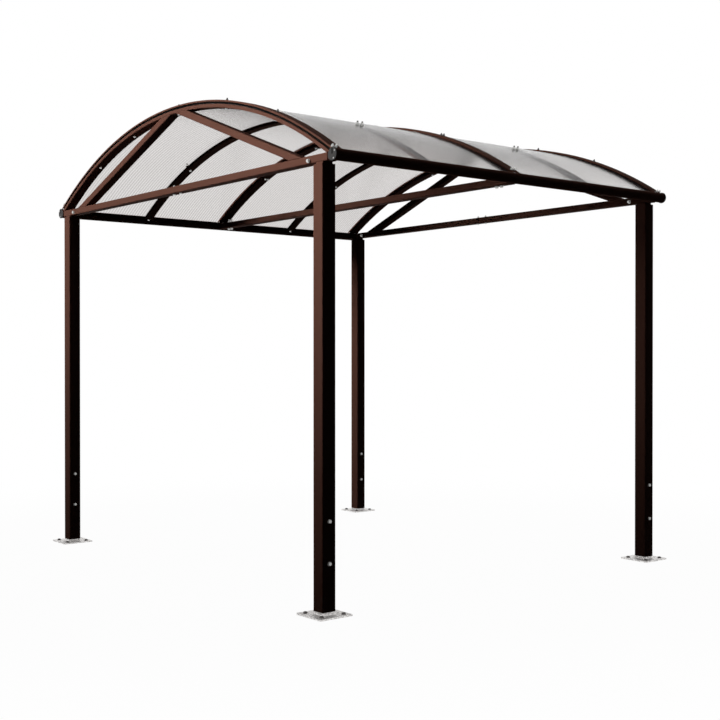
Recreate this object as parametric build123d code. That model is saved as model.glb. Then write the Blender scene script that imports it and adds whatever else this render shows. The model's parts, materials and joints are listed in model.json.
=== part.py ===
from build123d import *
import math
import os

# Bike shelter: four square posts on bolted base plates carry two eaves tubes, three tie beams,
# five bent arches and a vaulted roof of two twin-wall sheets clamped under cover strips.
# Millimetres. +X runs across the span, +Y from the front gable to the back gable, +Z is up,
# the floor is at zero and the origin is the middle of the footprint.

# Bay
bay_span = 2870.0
bay_length = 2500.0

# Posts: square hollow section with a welded head plate inside the top
post_side = 80.0
post_wall = 3.0
post_corner = 6.0
post_top = 2215.0
post_head_thick = 6.0
post_bolt_dia = 13.0
post_bolt_pitch = 208.0

# Base plates, each with a spigot that the post slides over and hangs on by two bolts
plate_side = 200.0
plate_thick = 8.0
plate_corner = 5.0
anchor_spacing = 135.0
anchor_hole_dia = 14.0
spigot_wall = 4.0
spigot_height = 520.0
spigot_clearance = 0.4
spigot_bolt_edge = 62.0
post_lift = 13.0

# Head pads between the post tops and the ties
pad_side = 60.0
pad_thick = 10.0
pad_corner = 3.0

# Tie beams and braces: rectangular hollow section, ties laid flat
tie_width = 60.0
tie_depth = 40.0
tie_wall = 3.0
tie_corner = 6.0
tie_end_gap = 15.0
tie_joint_gap = 1.0
splice_length = 240.0
sleeve_wall = 3.0
sleeve_clearance = 0.4
stub_grip = 190.0
brace_foot_inset = 265.0
brace_crown_gap = 25.0

# Vault: the rise is from the axis of the eaves tubes to the crown of the cover strips,
# and the layers under it are the strips, the sheets and the bent tubes
vault_rise = 482.0
cover_width = 60.0
cover_depth = 13.0
cover_wall = 2.0
cover_corner = 3.0
sheet_thick = 8.0
arch_width = 65.0
arch_depth = 20.0
arch_wall = 2.0
arch_corner = 4.0
rib_width = 60.0
seat_gap = 0.3
tape_gap = 0.7

# Roof sheets
sheet_edge_inset = 8.0
sheet_joint_gap = 10.0
sheet_grip = 18.0

# Eaves tubes, slotted along the inner side for the sheets, with plugged end caps
eaves_offset = 67.0
eaves_lift = 5.0
eaves_sink = 7.0
eaves_end_inset = 6.0
eaves_dia = 60.0
eaves_wall = 3.0
slot_clearance = 1.0
cap_dia = 65.0
cap_thick = 4.0
cap_plug_depth = 8.0
cap_plug_clearance = 0.3
cap_slot_width = 4.0
cap_slot_height = 22.0

# One overrun serves every cut
overrun = 5.0

# Places worked out from the sizes above
post_x = bay_span / 2
post_y = bay_length / 2
eaves_x = post_x + post_side / 2 + eaves_offset
eaves_end = post_y + post_side / 2 - eaves_end_inset
post_bolt_high = plate_thick + spigot_height - spigot_bolt_edge
post_bolt_low = post_bolt_high - post_bolt_pitch
tie_bottom = post_top + pad_thick
tie_mid = tie_bottom + tie_depth / 2
tie_top = tie_bottom + tie_depth
tie_end = eaves_x - eaves_dia / 2 - tie_end_gap
eaves_z = tie_mid + eaves_lift
crown_height = eaves_z + vault_rise
layers_above_axis = eaves_sink + sheet_thick / 2 + tape_gap + cover_depth
axis_rise = vault_rise - layers_above_axis
eaves_radius = (eaves_x**2 + axis_rise**2) / (2 * axis_rise)
eaves_angle = math.degrees(math.asin(eaves_x / eaves_radius))
vault_radius = eaves_radius + layers_above_axis
vault_axis_z = crown_height - vault_radius
sheet_mid = eaves_radius + eaves_sink
arch_outer = sheet_mid - sheet_thick / 2 - tape_gap
arch_inner = arch_outer - arch_depth
arch_y = post_y + cover_width / 2 - arch_width / 2
rib_y = bay_length / 4
sleeve_width = tie_width - 2 * tie_wall - 2 * sleeve_clearance
sleeve_depth = tie_depth - 2 * tie_wall - 2 * sleeve_clearance

sides = {"left": -1, "right": 1}
gables = {"front": -1, "back": 1}


def hollow(width, depth, wall, corner):
    """Rounded rectangle with an even wall, centred on the sketch origin."""
    outer = RectangleRounded(width, depth, corner)
    inner_corner = max(corner - wall, corner / 4)
    return outer - RectangleRounded(width - 2 * wall, depth - 2 * wall, inner_corner)


def rod_along_x(dia, length):
    return Rot(0, 90, 0) * Cylinder(dia / 2, length)


def rod_along_y(dia, length):
    return Rot(90, 0, 0) * Cylinder(dia / 2, length)


def run_along_x(section, start, end, y, z):
    """Extrude a section, drawn as Y by Z, from one X to another."""
    plane = Plane(origin=(start, y, z), x_dir=(0, 1, 0), z_dir=(1, 0, 0))
    return extrude(plane * section, amount=end - start)


def bend(section, y, radius, half_angle):
    """Carry a section, drawn as Y by radius, round the vault axis to both sides of the crown."""
    start = Pos(0, y, vault_axis_z) * Rot(0, -half_angle, 0)
    face = start * (Plane.YZ * (Pos(0, radius) * section))
    return revolve(face, axis=Axis((0, y, vault_axis_z), (0, 1, 0)), revolution_arc=2 * half_angle)


def stop_angle(radius):
    """Angle from the crown at which a square end at this radius meets the eaves tube."""
    reach = eaves_dia / 2 + seat_gap
    along = math.sqrt(reach**2 - (radius - eaves_radius) ** 2)
    return eaves_angle - math.degrees(along / radius)


def below(height):
    """Everything under a level, as one block, used to cut feet flat."""
    width = 2 * (eaves_x + eaves_dia)
    length = 2 * (eaves_end + eaves_dia)
    block = Box(width, length, crown_height, align=(Align.CENTER, Align.CENTER, Align.MAX))
    return Pos(0, 0, height) * block


def base_plate(x, y):
    """Plate with four anchor holes and the welded spigot that stands inside the post."""
    outline = RectangleRounded(plate_side, plate_side, plate_corner)
    holes = GridLocations(anchor_spacing, anchor_spacing, 2, 2) * Circle(anchor_hole_dia / 2)
    plate = extrude(outline - holes, amount=plate_thick)
    spigot_side = post_side - 2 * post_wall - 2 * spigot_clearance
    section = hollow(spigot_side, spigot_side, spigot_wall, post_corner - post_wall)
    spigot = Pos(0, 0, plate_thick) * extrude(section, amount=spigot_height)
    return Pos(x, y, 0) * (plate + spigot - post_bolt_holes())


def post_bolt_holes():
    """The two cross holes that hang the post on its spigot."""
    length = post_side + 2 * overrun
    low = Pos(0, 0, post_bolt_low) * rod_along_x(post_bolt_dia, length)
    high = Pos(0, 0, post_bolt_high) * rod_along_x(post_bolt_dia, length)
    return low + high


def post(x, y):
    """Square tube closed at the top by a head plate let in flush."""
    foot = plate_thick + post_lift
    section = hollow(post_side, post_side, post_wall, post_corner)
    tube = Pos(0, 0, foot) * extrude(section, amount=post_top - foot)
    head_side = post_side - post_wall
    head_outline = RectangleRounded(head_side, head_side, post_corner - post_wall / 2)
    head = extrude(head_outline, amount=-post_head_thick)
    return Pos(x, y, 0) * (tube + Pos(0, 0, post_top) * head - post_bolt_holes())


def head_pad(x, y):
    pad = extrude(RectangleRounded(pad_side, pad_side, pad_corner), amount=pad_thick)
    return Pos(x, y, post_top) * pad


def tie(start, end, y):
    """Tie beam, or half of one, between two places along the span."""
    section = hollow(tie_width, tie_depth, tie_wall, tie_corner)
    return run_along_x(section, start, end, y, tie_mid)


def tie_splice(y):
    """Sleeve inside the mid-span joint of a gable tie."""
    section = hollow(sleeve_width, sleeve_depth, sleeve_wall, tie_corner - tie_wall)
    return run_along_x(section, -splice_length / 2, splice_length / 2, y, tie_mid)


def brace(side, y):
    """Straight strut from the tie to the arch beside the crown, cut to both."""
    foot = Vector(side * (post_x - brace_foot_inset), y, tie_top)
    crown_z = vault_axis_z + math.sqrt(arch_inner**2 - brace_crown_gap**2)
    crown = Vector(side * brace_crown_gap, y, crown_z)
    along = (crown - foot).normalized()
    upward = Vector(-side * along.Z, 0, side * along.X) * -1
    start = foot - along * (tie_depth + tie_width) * 2 + upward * (tie_depth / 2)
    length = (crown - foot).length + 4 * (tie_depth + tie_width)
    plane = Plane(origin=start, x_dir=(0, 1, 0), z_dir=along)
    strut = extrude(plane * hollow(tie_width, tie_depth, tie_wall, tie_corner), amount=length)
    vault = Pos(0, y, vault_axis_z) * rod_along_y(2 * (arch_inner - seat_gap), tie_width + 2 * overrun)
    return (strut & vault) - below(tie_top)


def arch(y):
    """Bent tube mitred flat on the ends of its tie, with its gable face flush with the strip."""
    section = hollow(arch_width, arch_depth, arch_wall, arch_corner)
    tube = bend(section, y, (arch_outer + arch_inner) / 2, stop_angle(eaves_radius))
    return tube - below(tie_top)


def rib(y):
    """Narrower bent tube between the frames, butting on the eaves tubes."""
    section = hollow(rib_width, arch_depth, arch_wall, arch_corner)
    return bend(section, y, (arch_outer + arch_inner) / 2, stop_angle(eaves_radius))


def cover_strip(y):
    """Shallow channel over an arch, its legs and the rubber lip under them standing on the sheets."""
    outer = RectangleRounded(cover_width, cover_depth, cover_corner)
    hollow_depth = cover_depth - cover_wall
    drop = Pos(0, -cover_depth / 2 + hollow_depth / 2 - overrun / 2)
    section = outer - drop * Rectangle(cover_width - 2 * cover_wall, hollow_depth + overrun)
    return bend(section, y, vault_radius - cover_depth / 2, stop_angle(vault_radius - cover_depth))


def roof_sheet(gable):
    """One twin-wall sheet, from the gable frame to the middle of the bay and into both eaves slots."""
    outer_edge = post_y + cover_width / 2 - sheet_edge_inset
    inner_edge = sheet_joint_gap / 2
    section = Rectangle(outer_edge - inner_edge, sheet_thick)
    reach = eaves_angle - math.degrees((eaves_dia / 2 - sheet_grip) / sheet_mid)
    return bend(section, gable * (outer_edge + inner_edge) / 2, sheet_mid, reach)


def eaves_tube(side):
    """Round tube with a slot for the sheets and a stub for each tie."""
    length = 2 * (eaves_end - cap_thick)
    place = Pos(side * eaves_x, 0, eaves_z)
    tube = place * rod_along_y(eaves_dia, length)
    bore_dia = eaves_dia - 2 * eaves_wall
    stub_section = hollow(sleeve_width, sleeve_depth, sleeve_wall, tie_corner - tie_wall)
    weld_dia = eaves_dia - eaves_wall
    ends = sorted((side * (tie_end - stub_grip), side * eaves_x))
    for y in (-post_y, 0, post_y):
        stub = run_along_x(stub_section, ends[0], ends[1], y, tie_mid)
        tube += stub - place * rod_along_y(weld_dia, length)
    tube -= place * rod_along_y(bore_dia, length + 2 * overrun)
    slot_length = 2 * (post_y + cover_width / 2 - sheet_edge_inset + slot_clearance)
    slot = bend(Rectangle(slot_length, sheet_thick + 2 * slot_clearance), 0, sheet_mid, eaves_angle)
    return tube - slot


def eaves_cap(side, gable):
    """End cap: a disc with a plug in the bore and an upright slot above its middle."""
    bore_dia = eaves_dia - 2 * eaves_wall
    plug_dia = bore_dia - 2 * cap_plug_clearance
    disc = Pos(0, gable * (eaves_end - cap_thick / 2), 0) * rod_along_y(cap_dia, cap_thick)
    plug_y = eaves_end - cap_thick - cap_plug_depth / 2
    plug = Pos(0, gable * plug_y, 0) * rod_along_y(plug_dia, cap_plug_depth)
    cutter = Box(cap_slot_width, 2 * cap_thick, cap_slot_height)
    slot = Pos(0, gable * eaves_end, cap_slot_height / 2) * cutter
    return Pos(side * eaves_x, 0, eaves_z) * (disc + plug - slot)


def pieces():
    """Every piece of the shelter by its name."""
    made = {}
    for gable_name, gable in gables.items():
        y = gable * post_y
        for side_name, side in sides.items():
            x = side * post_x
            corner = gable_name + "_" + side_name
            made["base_plate_" + corner] = base_plate(x, y)
            made["post_" + corner] = post(x, y)
            made["head_pad_" + corner] = head_pad(x, y)
            made["brace_" + corner] = brace(side, y)
            made["eaves_cap_" + corner] = eaves_cap(side, gable)
        made["tie_" + gable_name + "_left"] = tie(-tie_end, -tie_joint_gap / 2, y)
        made["tie_" + gable_name + "_right"] = tie(tie_joint_gap / 2, tie_end, y)
        made["tie_splice_" + gable_name] = tie_splice(y)
        made["rib_" + gable_name] = rib(gable * rib_y)
        made["roof_sheet_" + gable_name] = roof_sheet(gable)
    made["tie_middle"] = tie(-tie_end, tie_end, 0)
    for frame_name, gable in (("front", -1), ("middle", 0), ("back", 1)):
        made["arch_" + frame_name] = arch(gable * arch_y)
        made["cover_strip_" + frame_name] = cover_strip(gable * post_y)
    for side_name, side in sides.items():
        made["eaves_tube_" + side_name] = eaves_tube(side)
    return made


os.makedirs("parts", exist_ok=True)
for name, piece in pieces().items():
    export_step(piece, os.path.join("parts", name + ".step"))
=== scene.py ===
import json
import math

import bpy
import numpy as np
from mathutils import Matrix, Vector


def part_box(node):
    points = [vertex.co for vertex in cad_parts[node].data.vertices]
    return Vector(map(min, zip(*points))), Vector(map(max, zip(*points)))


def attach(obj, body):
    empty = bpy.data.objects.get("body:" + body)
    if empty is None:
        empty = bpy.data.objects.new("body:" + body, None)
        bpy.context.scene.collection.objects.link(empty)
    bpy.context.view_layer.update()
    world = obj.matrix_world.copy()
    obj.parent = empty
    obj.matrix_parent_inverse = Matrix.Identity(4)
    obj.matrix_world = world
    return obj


bl_info = {
    "name": "Bike shelter looks",
    "version": (1, 0, 0),
    "blender": (4, 5, 0),
    "location": "View3D > Sidebar > Shelter",
    "description": "Finishes, fasteners, trims and stage for an arched bike shelter",
    "category": "Object",
}

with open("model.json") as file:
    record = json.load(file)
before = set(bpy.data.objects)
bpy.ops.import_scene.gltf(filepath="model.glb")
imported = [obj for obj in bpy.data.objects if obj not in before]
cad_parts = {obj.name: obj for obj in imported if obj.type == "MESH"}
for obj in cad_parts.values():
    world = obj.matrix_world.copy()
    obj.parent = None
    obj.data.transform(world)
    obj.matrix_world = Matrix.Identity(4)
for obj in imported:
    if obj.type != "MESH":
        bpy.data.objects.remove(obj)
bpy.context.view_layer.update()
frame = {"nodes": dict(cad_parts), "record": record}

CORNERS = ("front_left", "front_right", "back_left", "back_right")
GABLES = {"front": -1.0, "back": 1.0}
SIDES = {"left": -1.0, "right": 1.0}
RIDES_ON = "root"
WHITE = (1.0, 1.0, 1.0, 1.0)
DUST_HEIGHTS = (0.02, 0.28)
THIN_WASHER, THICK_WASHER = 0.0016, 0.0025
SMALL_FLATS, SMALL_SEAT = 0.015, 0.009


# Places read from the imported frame


def points_of(node):
    """All points of a node's mesh as rows of x, y, z in metres."""
    mesh = frame["nodes"][node].data
    flat = np.empty(len(mesh.vertices) * 3)
    mesh.vertices.foreach_get("co", flat)
    return flat.reshape(-1, 3)


def box_of(node):
    low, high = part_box(node)
    return np.array(low), np.array(high)


def middle_of(node):
    low, high = box_of(node)
    return (low + high) / 2


def arc_of(node):
    """Axis height and outer radius of a bent piece: the circle over the middle plane through its crown
    and its widest point, radius = (half width² + drop²) / (2 × drop)."""
    points = points_of(node)
    crown = points[:, 2].max()
    tip = points[points[:, 0].argmax()]
    drop = crown - tip[2]
    radius = (tip[0] ** 2 + drop**2) / (2 * drop)
    return crown - radius, radius


def skins_of(node):
    """Axis height, inner radius and outer radius of a bent piece."""
    axis_height, outside = arc_of(node)
    points = points_of(node)
    return axis_height, np.hypot(points[:, 0], points[:, 2] - axis_height).min(), outside


# Shader maths


class Wire:
    """A shader value. Arithmetic on it, or between it and a number, adds Math nodes."""

    def __init__(self, tree, socket):
        self.tree = tree
        self.socket = socket

    def _math(self, operation, first, second):
        return node(self.tree, "ShaderNodeMath", {"operation": operation}, {0: first, 1: second})

    def __add__(self, other):
        return self._math("ADD", self, other)

    def __radd__(self, other):
        return self._math("ADD", other, self)

    def __sub__(self, other):
        return self._math("SUBTRACT", self, other)

    def __rsub__(self, other):
        return self._math("SUBTRACT", other, self)

    def __mul__(self, other):
        return self._math("MULTIPLY", self, other)

    def __truediv__(self, other):
        return self._math("DIVIDE", self, other)

    def __pow__(self, other):
        return self._math("POWER", self, other)

    def __gt__(self, other):
        return self._math("GREATER_THAN", self, other)

    def most(self, other):
        return self._math("MAXIMUM", self, other)

    def part(self, name):
        """Another output of the same node."""
        return Wire(self.tree, self.socket.node.outputs[name])


def node(tree, kind, settings=None, inputs=None):
    """One node: its settings come first, then a value or a link for each named socket."""
    made = tree.nodes.new(kind)
    for name, value in (settings or {}).items():
        setattr(made, name, value)
    for name, value in (inputs or {}).items():
        if isinstance(value, Wire):
            tree.links.new(value.socket, made.inputs[name])
        else:
            made.inputs[name].default_value = value
    shown = [out for out in made.outputs if out.enabled]
    return Wire(tree, shown[0]) if shown else None


def blend_color(tree, share, first, second):
    """Colour mix: first × (1 - share) + second × share."""
    return node(tree, "ShaderNodeMix", {"data_type": "RGBA"}, {"Factor": share, 6: first, 7: second})


def noise(tree, place, scale, detail=3.0, roughness=0.55):
    return node(tree, "ShaderNodeTexNoise", None,
                {"Vector": place, "Scale": scale, "Detail": detail, "Roughness": roughness})


def smooth_step(tree, value, low, high):
    """0 below low, 1 above high, with a smooth ramp between."""
    return node(tree, "ShaderNodeMapRange", {"interpolation_type": "SMOOTHSTEP"},
                {"Value": value, "From Min": low, "From Max": high})


def new_finish(name):
    """An empty material with its tree and the object-space place of the shaded point."""
    made = bpy.data.materials.new(name)
    made.use_nodes = True
    tree = made.node_tree
    tree.nodes.clear()
    place = node(tree, "ShaderNodeTexCoord").part("Object")
    return made, tree, place


def close_finish(tree, inputs, bump, strength, reach):
    """Principled shader and output; bump is a height in units of reach."""
    normal = node(tree, "ShaderNodeBump", None, {"Strength": strength, "Distance": reach, "Height": bump})
    shader = node(tree, "ShaderNodeBsdfPrincipled", None, {**inputs, "Normal": normal})
    node(tree, "ShaderNodeOutputMaterial", None, {"Surface": shader})


def white_to(tree):
    """1 for rays from the camera, from reflections and through clear parts,
    0 once a ray has lit a matt surface."""
    path = node(tree, "ShaderNodeLightPath")
    looking = path.part("Is Camera Ray").most(path.part("Is Glossy Ray"))
    seen = looking.most(path.part("Is Transmission Ray"))
    return seen * (1 - (path.part("Diffuse Depth") > 0.5))


def rgba(color, gain=1.0):
    return (color[0] * gain, color[1] * gain, color[2] * gain, 1.0)


def vault_reach(tree, place, axis_height):
    """Distance from the vault axis: sqrt(x² + (z - axis height)²)."""
    parts = node(tree, "ShaderNodeSeparateXYZ", None, {"Vector": place})
    side, rise = parts.part("X"), parts.part("Z") - axis_height
    return (side * side + rise * rise) ** 0.5


def brown_coat(colors, name="brown_powder_coat", lip_and_shade=None):
    """Powder coat: brown with faint cloudy drift, a fine pebbled skin and a little dust low on the posts.
    A lip is given as its axis height and upper radius; below that radius the coat is near-black, partly a
    rubber lip and partly painted shade under the strip."""
    made, tree, place = new_finish(name)
    drift = noise(tree, place, 2.6, 4.0)
    pebble = noise(tree, place, 900.0, 2.0)
    height = node(tree, "ShaderNodeSeparateXYZ", None, {"Vector": place}).part("Z")
    tone = blend_color(tree, drift, rgba(colors.coat, 0.88), rgba(colors.coat, 1.1))
    patches = smooth_step(tree, noise(tree, place, 14.0), 0.45, 0.75)
    dust = (1 - smooth_step(tree, height, *DUST_HEIGHTS)) * patches
    tone = blend_color(tree, dust * 0.12, tone, rgba(colors.dust))
    # Rubber lip and painted shade: near-black below the lip's radius
    if lip_and_shade:
        tone = blend_color(tree, vault_reach(tree, place, lip_and_shade[0]) > lip_and_shade[1], rgba(colors.seal_and_shade), tone)
    rough = 0.54 + drift * 0.08 + pebble * 0.08
    close_finish(tree, {"Base Color": tone, "Roughness": rough, "Specular IOR Level": colors.coat_gloss},
                 bump=pebble, strength=0.12, reach=0.0004)
    return made


def hot_dip_zinc(colors):
    """Galvanised plate: crystal patches of differing grey, cloudy runs and a slightly lumpy skin."""
    made, tree, place = new_finish("hot_dip_zinc")
    patch = node(tree, "ShaderNodeTexVoronoi", None, {"Vector": place, "Scale": 190.0}).part("Color")
    flake = node(tree, "ShaderNodeSeparateColor", None, {"Color": patch}).part("Red")
    cloud = noise(tree, place, 130.0, 4.0, 0.65)
    mottle = smooth_step(tree, flake * 0.45 + cloud * 0.75, 0.4, 0.8)
    tone = blend_color(tree, mottle, rgba(colors.zinc, 0.56), rgba(colors.zinc, 1.08))
    close_finish(tree, {"Base Color": tone, "Roughness": 0.42 + cloud * 0.24, "Metallic": 0.85},
                 bump=cloud, strength=0.12, reach=0.0008)
    return made


def plated(name, color, metal):
    """Plated fasteners: metal with light handling marks. Metal is the metallic level."""
    made, tree, place = new_finish(name)
    marks = noise(tree, place, 320.0, 3.0)
    tone = blend_color(tree, marks, rgba(color, 0.82), rgba(color, 1.1))
    close_finish(tree, {"Base Color": tone, "Roughness": 0.24 + marks * 0.2, "Metallic": metal},
                 bump=marks, strength=0.08, reach=0.0003)
    return made


def moulded_grey(colors):
    """Moulded caps: matt grey with a fine spark-eroded grain."""
    made, tree, place = new_finish("moulded_grey")
    grain = noise(tree, place, 1400.0, 2.0)
    cloud = noise(tree, place, 40.0, 3.0)
    tone = blend_color(tree, cloud, rgba(colors.cap, 0.9), rgba(colors.cap, 1.1))
    rough = 0.5 + grain * 0.12
    close_finish(tree, {"Base Color": tone, "Roughness": rough, "Specular IOR Level": colors.cap_gloss},
                 bump=grain, strength=0.2, reach=0.0003)
    return made


def rubber_and_painted_shade(colors):
    """Near-black edge seals and cap slot plates: dull rubber, dusty in patches. Its black is partly the
    rubber's own and partly painted shade; on the slot plates it is all painted shade.
    """
    made, tree, place = new_finish("rubber_and_painted_shade")
    dusty = noise(tree, place, 60.0, 4.0)
    tone = blend_color(tree, dusty * 0.1, rgba(colors.seal_and_shade), rgba(colors.dust, 0.25))
    rough = 0.62 + dusty * 0.2
    close_finish(tree, {"Base Color": tone, "Roughness": rough, "Specular IOR Level": colors.coat_gloss},
                 bump=dusty, strength=0.15, reach=0.0005)
    return made


def twin_wall(colors, skins):
    """Twin-wall sheet: frosted skins that pass light, and a darker line at every web, one pitch apart along
    the bay. The outer skin is tinted towards the web colour as painted shade, darkening the roof seen from
    above, and its webs are stronger. The web mask is |fract(y / pitch) - 1/2|, steepened towards the web."""
    made, tree, place = new_finish("twin_wall_sheet")
    axis_height, inside, outside = skins
    outer = vault_reach(tree, place, axis_height) > (inside + outside) / 2
    along = node(tree, "ShaderNodeSeparateXYZ", None, {"Vector": place}).part("Y")
    turn = node(tree, "ShaderNodeMath", {"operation": "FRACT"}, {0: along / colors.flute_pitch})
    apart = node(tree, "ShaderNodeMath", {"operation": "ABSOLUTE"}, {0: turn - 0.5})
    web = smooth_step(tree, apart, 0.1, 0.48)
    haze = noise(tree, place, 3.0, 3.0)
    # Web lines, painted shade that darkens the whole outer skin, and faint haze
    webs_and_painted_top_shade = web * (0.12 + outer * 0.22) + outer * 0.24 + haze * 0.02
    tone = blend_color(tree, webs_and_painted_top_shade, rgba(colors.sheet), rgba(colors.web))
    skin = apart * 2 + noise(tree, place, 45.0, 2.0) * 0.2
    close_finish(tree, {"Base Color": tone, "Roughness": 0.11 + haze * 0.05,
                        "Transmission Weight": colors.sheet_clear, "IOR": colors.sheet_ior,
                        "Specular IOR Level": colors.sheet_gloss}, bump=skin, strength=0.4, reach=0.0006)
    return made


# Surfaces


def turned(radii, heights, flat=None, columns=24):
    """Surface of revolution on a grid of profile step and turn: x = r cos a, y = r sin a, z = h.
    With a flat distance given, r is cut to a hexagon: min(r, flat / cos(a folded into one side))."""
    angle = np.arange(columns) * 2 * np.pi / columns
    radius = np.repeat(np.asarray(radii, float)[:, None], columns, 1)
    if flat:
        fold = (angle + np.pi / 6) % (np.pi / 3) - np.pi / 6
        radius = np.minimum(radius, flat / np.cos(fold))
    height = np.repeat(np.asarray(heights, float)[:, None], columns, 1)
    points = np.stack([radius * np.cos(angle), radius * np.sin(angle), height], -1).reshape(-1, 3)
    return points, ring_faces(len(radii), columns)


def ring_faces(rows, columns):
    """Quads between neighbouring rings, and a flat face on the first and the last ring."""
    row, column = np.meshgrid(np.arange(rows - 1), np.arange(columns), indexing="ij")
    here = row * columns + column
    beside = row * columns + (column + 1) % columns
    quads = np.stack([here, beside, beside + columns, here + columns], -1).reshape(-1, 4)
    first = np.arange(columns)[::-1]
    last = np.arange(columns) + (rows - 1) * columns
    return quads.tolist() + [first.tolist(), last.tolist()]


def washer(outer, thick, base=0.0):
    edge = thick * 0.18
    return turned([outer - edge, outer, outer, outer - edge],
                  [base, base + edge, base + thick - edge, base + thick])


def hexagon(flats, thick, base=0.0):
    """Hexagon of a bolt head or nut, its top corners taken off by a cone."""
    flat = flats / 2
    corner = flat / math.cos(math.pi / 6)
    radii = [corner * 0.98, corner, corner, flat * 0.95]
    return turned(radii, [base, base + thick * 0.06, base + thick * 0.8, base + thick], flat)


def thread_end(radius, length, base=0.0):
    """End of a threaded rod: three shallow thread grooves and a chamfered tip."""
    step = np.linspace(0, 1, 9)
    groove = np.where(np.arange(9) % 2, 0.9, 1.0)
    radii = np.append(radius * groove, radius * 0.72)
    return turned(radii, base + np.append(step * length * 0.88, length), columns=16)


def dome(radius, rise, base=0.0):
    """Low domed screw head on a short rim: r = radius cos t, h = rise × (0.12 + 0.88 sin t)."""
    t = np.linspace(0, np.pi / 2 * 0.92, 6)
    radii = np.append(radius, radius * np.cos(t))
    heights = base + np.append(0.0, rise * 0.12 + rise * 0.88 * np.sin(t))
    return turned(radii, heights, columns=20)


def box_bar(wide, tall, deep):
    """Upright block: corners at (± wide / 2, ± tall / 2), carried from 0 to deep."""
    corner_x = np.array([-1, 1, 1, -1]) * wide / 2
    corner_y = np.array([-1, -1, 1, 1]) * tall / 2
    rings = [np.stack([corner_x, corner_y, np.full(4, height)], -1) for height in (0.0, deep)]
    return np.concatenate(rings), ring_faces(2, 4)


def copies(shape, origins, axes):
    """Copies of a shape: point = origin + x × side + y × across + z × axis,
    with side and across square to the axis."""
    points, faces = shape
    origins = np.asarray(origins, float).reshape(-1, 3)
    axes = np.broadcast_to(np.asarray(axes, float), origins.shape)
    axes = axes / np.linalg.norm(axes, axis=1, keepdims=True)
    helper = np.where(np.abs(axes[:, 1:2]) > 0.9, (0.0, 0.0, 1.0), (0.0, 1.0, 0.0))
    side = np.cross(helper, axes)
    side /= np.linalg.norm(side, axis=1, keepdims=True)
    across = np.cross(axes, side)
    basis = np.stack([side, across, axes], 1)
    moved = origins[:, None, :] + np.einsum("pk,mkc->mpc", points, basis)
    count = len(points)
    joined = [[corner + copy * count for corner in face] for copy in range(len(origins)) for face in faces]
    return moved.reshape(-1, 3), joined


def bent_bar(across, radius, angles, axis_height):
    """Closed profile of (across, radius) carried round the vault axis:
    x = radius sin a, y = across, z = axis height + radius cos a."""
    across, radius = np.asarray(across, float), np.asarray(radius, float)
    turn = np.asarray(angles, float)[:, None]
    points = np.stack([radius * np.sin(turn), across + 0 * turn, axis_height + radius * np.cos(turn)], -1)
    return points.reshape(-1, 3), ring_faces(len(turn), len(across))


def square_bead(half, corner, offsets, heights, per_corner=7):
    """Bead run round a rounded square: each corner centre plus (corner + offset) × (cos a, sin a),
    raised by height."""
    quarter = np.linspace(0, np.pi / 2, per_corner)
    angle = (np.arange(4)[:, None] * np.pi / 2 + quarter).ravel()
    inset = half - corner
    centre_x = np.repeat([inset, -inset, -inset, inset], per_corner)
    centre_y = np.repeat([inset, inset, -inset, -inset], per_corner)
    reach = corner + np.asarray(offsets, float)[:, None]
    x = centre_x + reach * np.cos(angle)
    y = centre_y + reach * np.sin(angle)
    z = np.repeat(np.asarray(heights, float)[:, None], len(angle), 1)
    rows, columns = x.shape
    faces = ring_faces(rows, columns)[:-2]
    first, last = np.arange(columns), np.arange(columns) + (rows - 1) * columns
    bottom = np.stack([np.roll(first, -1), first, last, np.roll(last, -1)], -1)
    return np.stack([x, y, z], -1).reshape(-1, 3), faces + bottom.tolist()


def join(*shapes):
    """Several shapes as one."""
    starts = np.cumsum([0] + [len(points) for points, _ in shapes]).tolist()
    faces = [[corner + start for corner in face]
             for start, (_, found) in zip(starts, shapes) for face in found]
    return np.concatenate([points for points, _ in shapes]), faces


def bolt_head(flats, seat, thick, depth):
    """Washer of radius seat with a hexagon on it."""
    return join(washer(seat, thick), hexagon(flats, depth, thick))


def nut_on_stud(flats, seat, thick, depth, stud, shown):
    """Washer, nut and the shown length of a stud."""
    return join(bolt_head(flats, seat, thick, depth), thread_end(stud, shown, thick + depth))


def make_piece(name, shape, finish, crease=35.0):
    """Put a shape into a mesh piece at the origin that rides on the shelter."""
    points, faces = shape
    mesh = bpy.data.meshes.new(name)
    mesh.from_pydata(points.tolist(), [], faces)
    mesh.validate()
    mesh.shade_smooth()
    mesh.set_sharp_from_angle(angle=math.radians(crease))
    mesh.materials.append(finish)
    piece = bpy.data.objects.new(name, mesh)
    bpy.context.scene.collection.objects.link(piece)
    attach(piece, RIDES_ON)


def finish_named(name):
    found = bpy.data.materials.get(name)
    if found is None:
        raise RuntimeError("make the finishes before the pieces: " + name)
    return found


def dress(nodes, finish):
    """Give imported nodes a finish."""
    for name in nodes:
        mesh = frame["nodes"][name].data
        mesh.materials.clear()
        mesh.materials.append(finish)


def nodes_with(slot):
    return [row["node"] for row in frame["record"]["subparts"] if row["material_slot"] == slot]


def on_arc(axis_height, radius, angles, y):
    """Points at a radius over the vault axis, and the directions straight out from it."""
    angles = np.radians(np.asarray(angles, float))
    y = np.broadcast_to(np.asarray(y, float), angles.shape)
    out = np.stack([np.sin(angles), 0 * angles, np.cos(angles)], -1)
    return np.stack([radius * out[:, 0], y, axis_height + radius * out[:, 2]], -1), out


def even_turns(count, step):
    """Degrees of a row of bolts, one step apart, evenly about the crown."""
    return (np.arange(count) - (count - 1) / 2) * step


# Sizes and colours


def color(name, description, default):
    return bpy.props.FloatVectorProperty(name=name, description=description, default=default, size=3,
                                         min=0.0, max=1.0, subtype="COLOR")


def length(name, description, default):
    return bpy.props.FloatProperty(name=name, description=description, default=default, min=0.0,
                                   unit="LENGTH", precision=4)


def plain(name, description, default, low=0.0):
    return bpy.props.FloatProperty(name=name, description=description, default=default, min=low)


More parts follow.
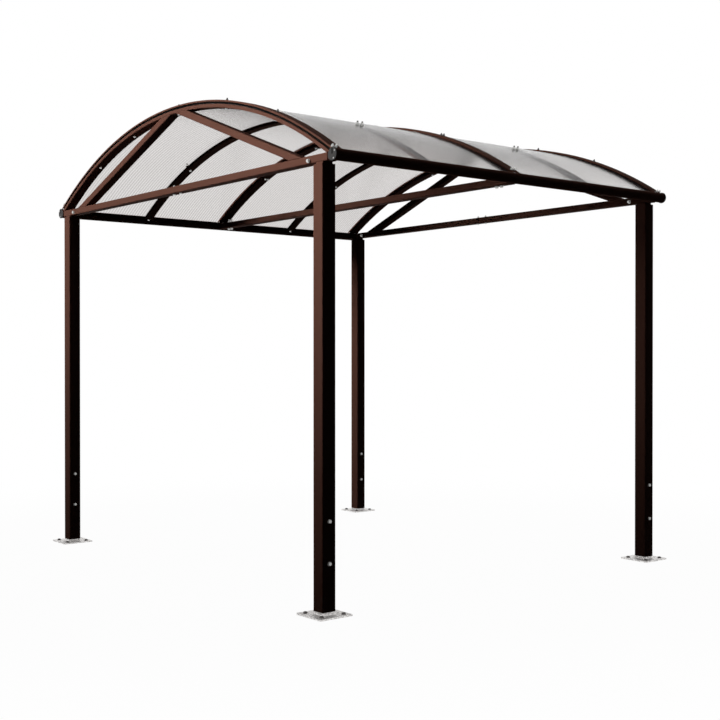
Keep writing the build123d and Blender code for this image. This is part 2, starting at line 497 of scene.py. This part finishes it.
class ShelterColors(bpy.types.PropertyGroup):
    """Colours and finish levels."""

    coat: color("Coat", "Brown powder coat", (0.146, 0.0655, 0.047))
    coat_gloss: plain("Coat gloss", "Specular level of the powder coat", 0.005)
    zinc: color("Galvanised", "Hot-dip zinc of the base plates", (0.92, 0.9, 0.885))
    bolt: color("Bolts", "Bright zinc of bolts, screws and rib nuts", (0.72, 0.72, 0.7))
    # Nut colour: the bolts' zinc darkened as painted shade, for the nuts, studs and anchors that sit in shade
    nut: color("Nuts", "Dulled zinc of strip nuts, studs and anchors", (0.13, 0.12, 0.115))
    cap: color("Caps", "Moulded end caps", (0.05, 0.048, 0.047))
    cap_gloss: plain("Cap gloss", "Specular level of the caps", 0.15)
    # Seal colour: near-black, partly the rubber's own colour and partly painted shade of gaps and creases
    seal_and_shade: color("Seals", "Edge rubber", (0.004, 0.0036, 0.0035))
    dust: color("Dust", "Dry dust", (0.32, 0.29, 0.26))
    sheet: color("Sheet", "Twin-wall sheet", (1.0, 0.986, 0.98))
    # Web colour, also the tint that darkens the outer skin as painted shade
    web: color("Webs", "Webs and weathered outer skin of the sheet", (0.2, 0.145, 0.12))
    sheet_gloss: plain("Sheet gloss", "Specular level of the sheet", 0.3)
    sheet_ior: plain("Sheet bend", "Refractive index of the sheet", 1.08, 1.0)
    sheet_clear: plain("Sheet clearness", "Share of the light that the sheet lets through", 0.9)
    flute_pitch: length("Flute pitch", "Distance between the webs of the sheet", 0.0204)
    # Below this depth the strip is painted near-black, partly a rubber lip and partly painted shade
    strip_steel: length("Strip steel", "Depth of the gable strips above their rubber lip", 0.010)


class ShelterFasteners(bpy.types.PropertyGroup):
    """Sizes and places of bolts, nuts and screws."""

    post_low: length("Lower post bolt", "Height of the lower post bolt", 0.258)
    post_high: length("Upper post bolt", "Height of the upper post bolt", 0.466)
    post_flats: length("Post bolt flats", "Across the flats of post and tie bolts", 0.017)
    tie_bolt_x: length("Tie bolt", "Distance of the tie face bolts from the middle", 1.345)
    splice_bolt_x: length("Splice bolt", "Distance of the splice bolts from the middle", 0.038)
    middle_inner_x: length("Inner end bolt", "Inner bolt at each end of the middle tie", 1.383)
    middle_outer_x: length("Outer end bolt", "Outer bolt at each end of the middle tie", 1.420)
    gable_turns: bpy.props.FloatVectorProperty(
        name="Gable bolts", description="Degrees from the crown of a gable arch's bolts",
        default=(-31.8, -20.9, -10.9, 0.35, 11.0, 21.2, 32.4), size=7)
    inner_step: plain("Inner bolt step", "Degrees between the bolts of the middle arch and ribs", 12.72)
    end_shift: length("End shift", "Distance of a gable strip's end pair from the strip's middle line", 0.013)
    end_pair: length("End pair", "Half distance between the two fasteners at a strip's end", 0.011)
    cover_flats: length("Cover bolt flats", "Across the flats of the cover bolts", 0.013)
    rib_flats: length("Rib bolt flats", "Across the flats of the rib bolts", 0.017)
    middle_pair: length("Middle pair", "Half distance between paired bolts on the middle arch", 0.010)
    rib_pair: length("Rib pair", "Half distance between paired bolts on a rib", 0.0165)
    eaves_lift: plain("Eaves screw lift", "Degrees of the eaves screws above the tube's middle", 4.0)
    anchor_flats: length("Anchor flats", "Across the flats of the anchor nuts", 0.019)
    anchor_spacing: length("Anchor spacing", "Distance between anchors along a plate",
                           frame["record"]["mounts"][0]["dims"]["spacing_x_mm"] / 1000)


class ShelterStage(bpy.types.PropertyGroup):
    """Camera, lamps and floor."""

    camera_place: bpy.props.FloatVectorProperty(
        name="Camera place", description="Where the camera stands",
        default=(5.99309, -4.67346, 1.2905), subtype="TRANSLATION")
    camera_turn: bpy.props.FloatVectorProperty(
        name="Camera turn", description="How the camera is turned",
        default=(math.radians(90 - 0.35545), 0.0, math.radians(51.3318)), subtype="EULER")
    lens: plain("Lens", "Focal length in millimetres", 58.01)
    room: plain("Room light", "Even light from all round", 0.004)
    key: plain("Key", "Power of the softbox to the left of the front gable, in watts", 46.0)
    front: plain("Front", "Power of the softbox far before the front gable, in watts", 67.0)
    top: plain("Top", "Power of the light above the roof, in watts", 26.0)
    fill: plain("Fill", "Power of the light behind the shelter, in watts", 260.0)
    floor_shade: plain("Floor shade", "Share of the floor's look that takes shadow", 0.022)


# Operators


class SHELTER_OT_finishes(bpy.types.Operator):
    """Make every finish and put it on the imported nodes"""

    bl_idname = "shelter.finishes"
    bl_label = "Finishes"

    def execute(self, context):
        colors = context.scene.shelter_colors
        coat = brown_coat(colors)
        zinc = hot_dip_zinc(colors)
        plated("bright_zinc", colors.bolt, metal=0.8)
        # Painted shade: the bolt zinc at half brightness, for the post bolts
        plated("painted_shade_bolt_zinc", rgba(colors.bolt, 0.5), metal=0.9)
        # Painted shade: a darkened zinc for the strip nuts, rib studs and anchors
        plated("painted_shade_zinc", colors.nut, metal=0.8)
        cap = moulded_grey(colors)
        rubber_and_painted_shade(colors)
        sheet = twin_wall(colors, skins_of("roof_sheet_front"))
        axis_height, _, outside = skins_of("cover_strip_middle")
        # Gable strips painted near-black along their lower edge: rubber lip and painted shade
        strip = brown_coat(colors, "brown_strip_coat", (axis_height, outside - colors.strip_steel))
        dress(nodes_with("brown_steel"), coat)
        dress(["cover_strip_" + gable for gable in GABLES], strip)
        dress(nodes_with("galvanised_steel"), zinc)
        dress(nodes_with("grey_plastic"), cap)
        dress(nodes_with("twin_wall_sheet"), sheet)
        return {"FINISHED"}


class SHELTER_OT_post_bolts(bpy.types.Operator):
    """Two through bolts at each post foot, heads outward to the right, nuts to the left"""

    bl_idname = "shelter.post_bolts"
    bl_label = "Post bolts"

    def execute(self, context):
        sizes = context.scene.shelter_fasteners
        flats, seat = sizes.post_flats, sizes.post_flats * 0.6
        heads, tails = [], []
        for corner in CORNERS:
            low, high = box_of("post_" + corner)
            y = (low[1] + high[1]) / 2
            for z in (sizes.post_low, sizes.post_high):
                heads.append((high[0], y, z))
                tails.append((low[0], y, z))
        head = bolt_head(flats, seat, THIN_WASHER, depth=0.0075)
        tail = nut_on_stud(flats, seat, THICK_WASHER, depth=0.010, stud=0.006, shown=0.005)
        shape = join(copies(head, heads, (1, 0, 0)), copies(tail, tails, (-1, 0, 0)))
        # The post bolts take the halved bolt zinc as painted shade
        make_piece("post_bolts", shape, finish_named("painted_shade_bolt_zinc"))
        return {"FINISHED"}


class SHELTER_OT_anchor_bolts(bpy.types.Operator):
    """Ground anchors through the base plates: washer, nut and the end of the stud"""

    bl_idname = "shelter.anchor_bolts"
    bl_label = "Ground anchors"

    def execute(self, context):
        sizes = context.scene.shelter_fasteners
        half = sizes.anchor_spacing / 2
        plates = np.array([middle_of("base_plate_" + corner) for corner in CORNERS])
        plate_top = plate_top_height()
        grid = np.array([(x, y) for x in (-half, half) for y in (-half, half)])
        places = plates[:, None, :2] + grid
        places = np.concatenate([places, np.full(places.shape[:2] + (1,), plate_top)], -1)
        stack = nut_on_stud(sizes.anchor_flats, seat=0.012, thick=0.002,
                            depth=0.0055, stud=0.006, shown=0.0015)
        shape = copies(stack, places, (0, 0, 1))
        # The anchors take the zinc darkened as painted shade
        make_piece("anchor_bolts", shape, finish_named("painted_shade_zinc"))
        return {"FINISHED"}


def plate_top_height():
    """Height of the plates' upper face: the level at which the widest points of a plate end."""
    points = points_of("base_plate_front_left")
    edge = points[:, 0].min() + 0.001
    return points[points[:, 0] < edge][:, 2].max()


class SHELTER_OT_plate_welds(bpy.types.Operator):
    """Fillet weld round each spigot where it stands on its plate"""

    bl_idname = "shelter.plate_welds"
    bl_label = "Plate welds"

    def execute(self, context):
        top = plate_top_height()
        low, high = box_of("post_front_left")
        inset, leg, rounding, root = 0.0034, 0.006, 0.003, 0.001
        half = (high[0] - low[0]) / 2 - inset
        t = np.linspace(0, np.pi / 2, 6)
        offsets = leg * (1 - np.sin(t) ** 1.4)
        heights = leg * np.sin(t)
        bead = square_bead(half, rounding, np.append(offsets, -root), np.append(heights, leg))
        places = [(*middle_of("post_" + corner)[:2], top) for corner in CORNERS]
        shape = copies(bead, places, (0, 0, 1))
        make_piece("plate_welds", shape, finish_named("hot_dip_zinc"))
        return {"FINISHED"}


class SHELTER_OT_tie_bolts(bpy.types.Operator):
    """Bolts of the ties: face bolts at the posts, upright pairs at the splices and the middle tie's ends"""

    bl_idname = "shelter.tie_bolts"
    bl_label = "Tie bolts"

    def execute(self, context):
        sizes = context.scene.shelter_fasteners
        flats, seat = sizes.post_flats, sizes.post_flats * 0.63
        low, high = box_of("tie_middle")
        head = bolt_head(flats, seat, THICK_WASHER, depth=0.0075)
        under = bolt_head(flats, seat, THICK_WASHER, depth=0.010)
        nut = nut_on_stud(flats, seat, THICK_WASHER, depth=0.010, stud=0.006, shown=0.005)
        tall = nut_on_stud(flats, seat, THICK_WASHER, depth=0.010, stud=0.006, shown=0.015)
        short = nut_on_stud(SMALL_FLATS, SMALL_SEAT, THIN_WASHER, depth=0.0065, stud=0.0045, shown=0.005)
        small_under = bolt_head(SMALL_FLATS, SMALL_SEAT, THIN_WASHER, depth=0.006)
        shapes = []
        below_axis = 0.005
        mid = (low[2] + high[2]) / 2 - below_axis
        for gable, way in GABLES.items():
            near, far = box_of("tie_" + gable + "_left")
            out = near[1] if way < 0 else far[1]
            into = far[1] if way < 0 else near[1]
            xs = (-sizes.tie_bolt_x, sizes.tie_bolt_x)
            shapes.append(copies(head, [(x, out, mid) for x in xs], (0, way, 0)))
            shapes.append(copies(nut, [(x, into, mid) for x in xs], (0, -way, 0)))
            y = (near[1] + far[1]) / 2
            xs = (-sizes.splice_bolt_x, sizes.splice_bolt_x)
            shapes.append(copies(short, [(x, y, far[2]) for x in xs], (0, 0, 1)))
            shapes.append(copies(small_under, [(x, y, near[2]) for x in xs], (0, 0, -1)))
        xs = [side * x for side in SIDES.values() for x in (sizes.middle_inner_x, sizes.middle_outer_x)]
        shapes.append(copies(tall, [(x, 0, high[2]) for x in xs], (0, 0, 1)))
        shapes.append(copies(under, [(x, 0, low[2]) for x in xs], (0, 0, -1)))
        make_piece("tie_bolts", join(*shapes), finish_named("bright_zinc"))
        return {"FINISHED"}


class SHELTER_OT_cover_bolts(bpy.types.Operator):
    """Bolts through cover strips and arches: nuts above in zinc darkened as painted shade, heads below, a
    bright pair at each strip's end
    """

    bl_idname = "shelter.cover_bolts"
    bl_label = "Cover bolts"

    def execute(self, context):
        sizes = context.scene.shelter_fasteners
        flats, seat = sizes.cover_flats, sizes.cover_flats * 0.62
        nut = nut_on_stud(flats, seat, THIN_WASHER, depth=0.0065, stud=0.004, shown=0.006)
        head = bolt_head(flats, seat, THIN_WASHER, depth=0.0055)
        axis_height, _, outside = skins_of("cover_strip_middle")
        inside = skins_of("arch_middle")[1]
        gable_angles = np.array(sizes.gable_turns)
        inner_angles = even_turns(6, sizes.inner_step)
        nuts, bright = [], []
        rows = [(gable_angles, middle_of("cover_strip_" + gable)[1]) for gable in GABLES]
        rows += [(inner_angles, -sizes.middle_pair), (inner_angles, sizes.middle_pair)]
        for angles, y in rows:
            places, out = on_arc(axis_height, outside, angles[1:-1], y)
            nuts.append(copies(nut, places, out))
            places, out = on_arc(axis_height, inside, angles, y)
            bright.append(copies(head, places, -out))
        for frame_name in (*GABLES, "middle"):
            shift = GABLES.get(frame_name, 0.0) * sizes.end_shift
            middle = middle_of("cover_strip_" + frame_name)[1] + shift
            ends = (inner_angles if frame_name == "middle" else gable_angles)[[0, -1]]
            for y in (middle - sizes.end_pair, middle + sizes.end_pair):
                places, out = on_arc(axis_height, outside, ends, y)
                bright.append(copies(nut, places, out))
        # The nuts above take the zinc darkened as painted shade; heads and end pairs keep the bright zinc
        make_piece("cover_nuts", join(*nuts), finish_named("painted_shade_zinc"))
        make_piece("cover_bright_bolts", join(*bright), finish_named("bright_zinc"))
        return {"FINISHED"}


class SHELTER_OT_rib_bolts(bpy.types.Operator):
    """Paired nuts over the ribs, a bolt head below each pair, and a screw where each rib meets the eaves"""

    bl_idname = "shelter.rib_bolts"
    bl_label = "Rib bolts"

    def execute(self, context):
        sizes = context.scene.shelter_fasteners
        broad, narrow, depth = 0.003, 0.002, 0.009
        seat = join(washer(0.013, broad), washer(0.011, narrow, broad))
        nut = join(seat, hexagon(sizes.rib_flats, depth, broad + narrow))
        stud = thread_end(0.005, 0.008, broad + narrow + depth)
        head = bolt_head(SMALL_FLATS, SMALL_SEAT, THIN_WASHER, depth=0.006)
        screw = join(washer(SMALL_SEAT, THIN_WASHER), dome(0.007, 0.005, THIN_WASHER))
        lift = math.radians(sizes.eaves_lift)
        axis_height, _, outside = skins_of("roof_sheet_front")
        inside = skins_of("rib_front")[1]
        angles = even_turns(4, sizes.inner_step)
        shapes, studs = [], []
        for gable in GABLES:
            middle = middle_of("rib_" + gable)[1]
            for y in (middle - sizes.rib_pair, middle + sizes.rib_pair):
                places, out = on_arc(axis_height, outside, angles, y)
                shapes.append(copies(nut, places, out))
                studs.append(copies(stud, places, out))
            places, out = on_arc(axis_height, inside, angles, middle)
            shapes.append(copies(head, places, -out))
            for side, way in SIDES.items():
                low, high = box_of("eaves_tube_" + side)
                radius = (high[2] - low[2]) / 2
                centre = (high[0] - radius) if way > 0 else (low[0] + radius)
                out = np.array([-way * math.cos(lift), 0.0, math.sin(lift)])
                place = np.array([centre, middle, (low[2] + high[2]) / 2]) + out * radius
                shapes.append(copies(screw, [place], out))
        make_piece("rib_bolts", join(*shapes), finish_named("bright_zinc"))
        # The stud ends take the zinc darkened as painted shade
        make_piece("rib_studs", join(*studs), finish_named("painted_shade_zinc"))
        return {"FINISHED"}


class SHELTER_OT_cap_screws(bpy.types.Operator):
    """Two small domed screws in each eaves cap, and a thin black plate set into its face as painted shade of
    an upright slot
    """

    bl_idname = "shelter.cap_screws"
    bl_label = "Cap screws"

    def execute(self, context):
        turns, circle = np.radians((37.0, -63.0)), 0.0245
        screw = dome(0.0042, 0.0026)
        slot_width, slot_height, thick, sunk = 0.0085, 0.028, 0.0012, 0.0008
        slot_shade_plate = box_bar(slot_width, slot_height, thick)
        shapes, slot_shade_plates = [], []
        for gable, way in GABLES.items():
            for side, hand in SIDES.items():
                low, high = box_of("eaves_cap_" + gable + "_" + side)
                middle = (low + high) / 2
                face = low[1] if way < 0 else high[1]
                places = np.stack([middle[0] + hand * circle * np.cos(turns), 0 * turns + face,
                                   middle[2] + circle * np.sin(turns)], -1)
                shapes.append(copies(screw, places, (0, way, 0)))
                # Black plate: painted shade of the slot
                slot_place = (middle[0], face - way * sunk, middle[2] + slot_height / 2)
                slot_shade_plates.append(copies(slot_shade_plate, [slot_place], (0, way, 0)))
        make_piece("cap_screws", join(*shapes), finish_named("bright_zinc"))
        make_piece("cap_slot_shade_plates", join(*slot_shade_plates), finish_named("rubber_and_painted_shade"))
        return {"FINISHED"}


class SHELTER_OT_edge_seals(bpy.types.Operator):
    """Near-black rubber seals along the gable edge of each sheet, and under the sheets along the eaves tubes;
    their black is partly rubber and partly painted shade of the gaps and creases they fill
    """

    bl_idname = "shelter.edge_seals"
    bl_label = "Edge seals"

    def execute(self, context):
        axis_height, underside, outside = skins_of("roof_sheet_front")
        _, arch_outside = arc_of("arch_front")
        reach = math.asin(points_of("arch_front")[:, 0].max() / arch_outside)
        angles = np.linspace(-reach, reach, 81)
        clear, proud = 0.0002, 0.0005
        under, over = arch_outside + clear, outside + proud
        shapes = []
        for gable, way in GABLES.items():
            low, high = box_of("roof_sheet_" + gable)
            edge = low[1] if way < 0 else high[1]
            across = edge + way * np.array([clear, 0.002, 0.0028, 0.002, clear])
            radius = np.array([under, under, (under + over) / 2, over, over])
            if way > 0:
                across, radius = across[::-1], radius[::-1]
            shapes.append(bent_bar(across, radius, angles, axis_height))
        shapes += self.eaves_seals_and_shade(axis_height, underside)
        # Seal pieces: rubber, and painted shade in the gaps and creases
        make_piece("edge_seals_and_shade", join(*shapes), finish_named("rubber_and_painted_shade"), crease=50.0)
        return {"FINISHED"}

    def eaves_seals_and_shade(self, axis_height, underside):
        """Round cords in the corner between the sheets and an eaves tube, cut at the arches and ribs.
        A cord's centre is its radius below the sheet and clear of the tube, where
        cos(turn) = (a² + b² - gap²) / (2 a b)."""
        cord, chamfer = 0.0045, 0.0005
        names = [name for name in frame["nodes"] if name.startswith(("arch_", "rib_"))]
        bent = sorted(tuple(np.stack(box_of(name))[:, 1]) for name in names)
        low, high = box_of("eaves_tube_right")
        radius = (high[2] - low[2]) / 2
        tube_x, tube_z = high[0] - radius, high[2] - radius
        a, b = underside - cord, math.hypot(tube_x, tube_z - axis_height)
        turn = math.acos((a**2 + b**2 - (radius + cord) ** 2) / (2 * a * b))
        angle = math.atan2(tube_x, tube_z - axis_height) - turn
        place = np.array([a * math.sin(angle), 0.0, axis_height + a * math.cos(angle)])
        made = []
        for (_, start), (end, _) in zip(bent, bent[1:]):
            run = end - start
            bar = turned([cord * 0.9, cord, cord, cord * 0.9], [0.0, chamfer, run - chamfer, run], columns=12)
            starts = [(way * place[0], start, place[2]) for way in SIDES.values()]
            made.append(copies(bar, starts, (0, 1, 0)))
        return made


class SHELTER_OT_stage(bpy.types.Operator):
    """Floor, room light, lamps and camera"""

    bl_idname = "shelter.stage"
    bl_label = "Stage"

    def execute(self, context):
        stage = context.scene.shelter_stage
        self.floor(stage)
        self.room(context.scene, stage)
        self.lamp("key_softbox", stage.key, place=(-4.5, -6.0, 4.61), target=(2.53, -1.25, 2.49),
                  size=(1.8, 1.8), spread=0.54)
        self.lamp("front_softbox", stage.front, place=(-2.0, -9.88, 4.4), target=(-2.06, 1.25, 3.27),
                  size=(2.0, 2.0), spread=0.74)
        self.lamp("top_soft", stage.top, place=(-0.4, -0.4, 6.0), target=(0.0, 0.0, 2.6), size=(4.0, 4.0))
        self.lamp("fill_back", stage.fill, place=(-4.5, 6.5, 3.2), target=(0.0, 1.0, 1.3), size=(2.5, 3.0))
        lens = bpy.data.cameras.new("photo_camera")
        lens.lens = stage.lens
        lens.sensor_width = 36.0
        lens.clip_end = 200.0
        camera = bpy.data.objects.new("photo_camera", lens)
        camera.location = stage.camera_place
        camera.rotation_euler = stage.camera_turn
        context.scene.collection.objects.link(camera)
        context.scene.camera = camera
        context.scene.view_settings.view_transform = "Standard"
        return {"FINISHED"}

    def floor(self, stage):
        """Flat square, white to the camera but for its shadow, which fades out away from the shelter."""
        mesh = bpy.data.meshes.new("floor")
        edge, level = 60.0, -0.0005
        corners = [(-edge, -edge, level), (edge, -edge, level), (edge, edge, level), (-edge, edge, level)]
        mesh.from_pydata(corners, [], [(0, 1, 2, 3)])
        made, tree, place = new_finish("pale_floor")
        seen = white_to(tree)
        away = node(tree, "ShaderNodeVectorMath", {"operation": "LENGTH"}, {0: place}).part("Value")
        full_to, gone_from = 2.2, 5.0
        shade = (1 - smooth_step(tree, away, full_to, gone_from)) * stage.floor_shade
        matt = node(tree, "ShaderNodeBsdfDiffuse", None, {"Color": (0.85, 0.85, 0.85, 1.0)})
        dim = node(tree, "ShaderNodeBsdfDiffuse", None, {"Color": (0.03, 0.03, 0.03, 1.0)})
        white = node(tree, "ShaderNodeEmission", None, {"Color": WHITE, "Strength": 1.0})
        looked_at = node(tree, "ShaderNodeMixShader", None, {0: shade, 1: white, 2: matt})
        whole = node(tree, "ShaderNodeMixShader", None, {0: seen, 1: dim, 2: looked_at})
        node(tree, "ShaderNodeOutputMaterial", None, {"Surface": whole})
        mesh.materials.append(made)
        floor = bpy.data.objects.new("floor", mesh)
        bpy.context.scene.collection.objects.link(floor)

    def room(self, scene, stage):
        """White to the camera, to reflections and through clear parts, dim as a light."""
        world = bpy.data.worlds.new("room")
        world.use_nodes = True
        tree = world.node_tree
        tree.nodes.clear()
        seen = white_to(tree)
        level = stage.room + seen * (1.0 - stage.room)
        light = node(tree, "ShaderNodeBackground", None, {"Color": WHITE, "Strength": level})
        node(tree, "ShaderNodeOutputWorld", None, {"Surface": light})
        scene.world = world

    def lamp(self, name, power, place, target, size, spread=math.pi):
        """Area lamp at a place, turned to a target, with its beam narrowed to a spread."""
        data = bpy.data.lights.new(name, "AREA")
        data.shape = "RECTANGLE"
        data.size, data.size_y = size
        data.energy = power
        data.spread = spread
        lamp = bpy.data.objects.new(name, data)
        direction = np.subtract(target, place)
        flat = math.hypot(direction[0], direction[1])
        lamp.location = place
        lamp.visible_camera = False
        lamp.visible_glossy = False
        lamp.visible_transmission = False
        heading = math.atan2(direction[1], direction[0]) - math.pi / 2
        lamp.rotation_euler = (math.atan2(flat, -direction[2]), 0.0, heading)
        bpy.context.scene.collection.objects.link(lamp)


OPERATORS = (
    SHELTER_OT_finishes,
    SHELTER_OT_post_bolts,
    SHELTER_OT_anchor_bolts,
    SHELTER_OT_plate_welds,
    SHELTER_OT_tie_bolts,
    SHELTER_OT_cover_bolts,
    SHELTER_OT_rib_bolts,
    SHELTER_OT_cap_screws,
    SHELTER_OT_edge_seals,
    SHELTER_OT_stage,
)
GROUPS = {
    "shelter_colors": ShelterColors,
    "shelter_fasteners": ShelterFasteners,
    "shelter_stage": ShelterStage,
}


class SHELTER_PT_panel(bpy.types.Panel):
    """Shelter pieces in the sidebar"""

    bl_idname = "SHELTER_PT_panel"
    bl_label = "Bike shelter"
    bl_space_type = "VIEW_3D"
    bl_region_type = "UI"
    bl_category = "Shelter"

    def draw(self, context):
        for group in GROUPS:
            box = self.layout.box()
            settings = getattr(context.scene, group)
            for name in settings.bl_rna.properties.keys():
                if name not in ("rna_type", "name"):
                    box.prop(settings, name)
        for operator in OPERATORS:
            self.layout.operator(operator.bl_idname)


def register():
    for group in GROUPS.values():
        bpy.utils.register_class(group)
    for name, group in GROUPS.items():
        setattr(bpy.types.Scene, name, bpy.props.PointerProperty(type=group))
    for operator in OPERATORS:
        bpy.utils.register_class(operator)
    bpy.utils.register_class(SHELTER_PT_panel)


def unregister():
    bpy.utils.unregister_class(SHELTER_PT_panel)
    for operator in reversed(OPERATORS):
        bpy.utils.unregister_class(operator)
    for name, group in GROUPS.items():
        delattr(bpy.types.Scene, name)
        bpy.utils.unregister_class(group)


def main():
    """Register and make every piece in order."""
    register()
    for operator in OPERATORS:
        group, name = operator.bl_idname.split(".")
        getattr(getattr(bpy.ops, group), name)()


if __name__ == "__main__":
    main()
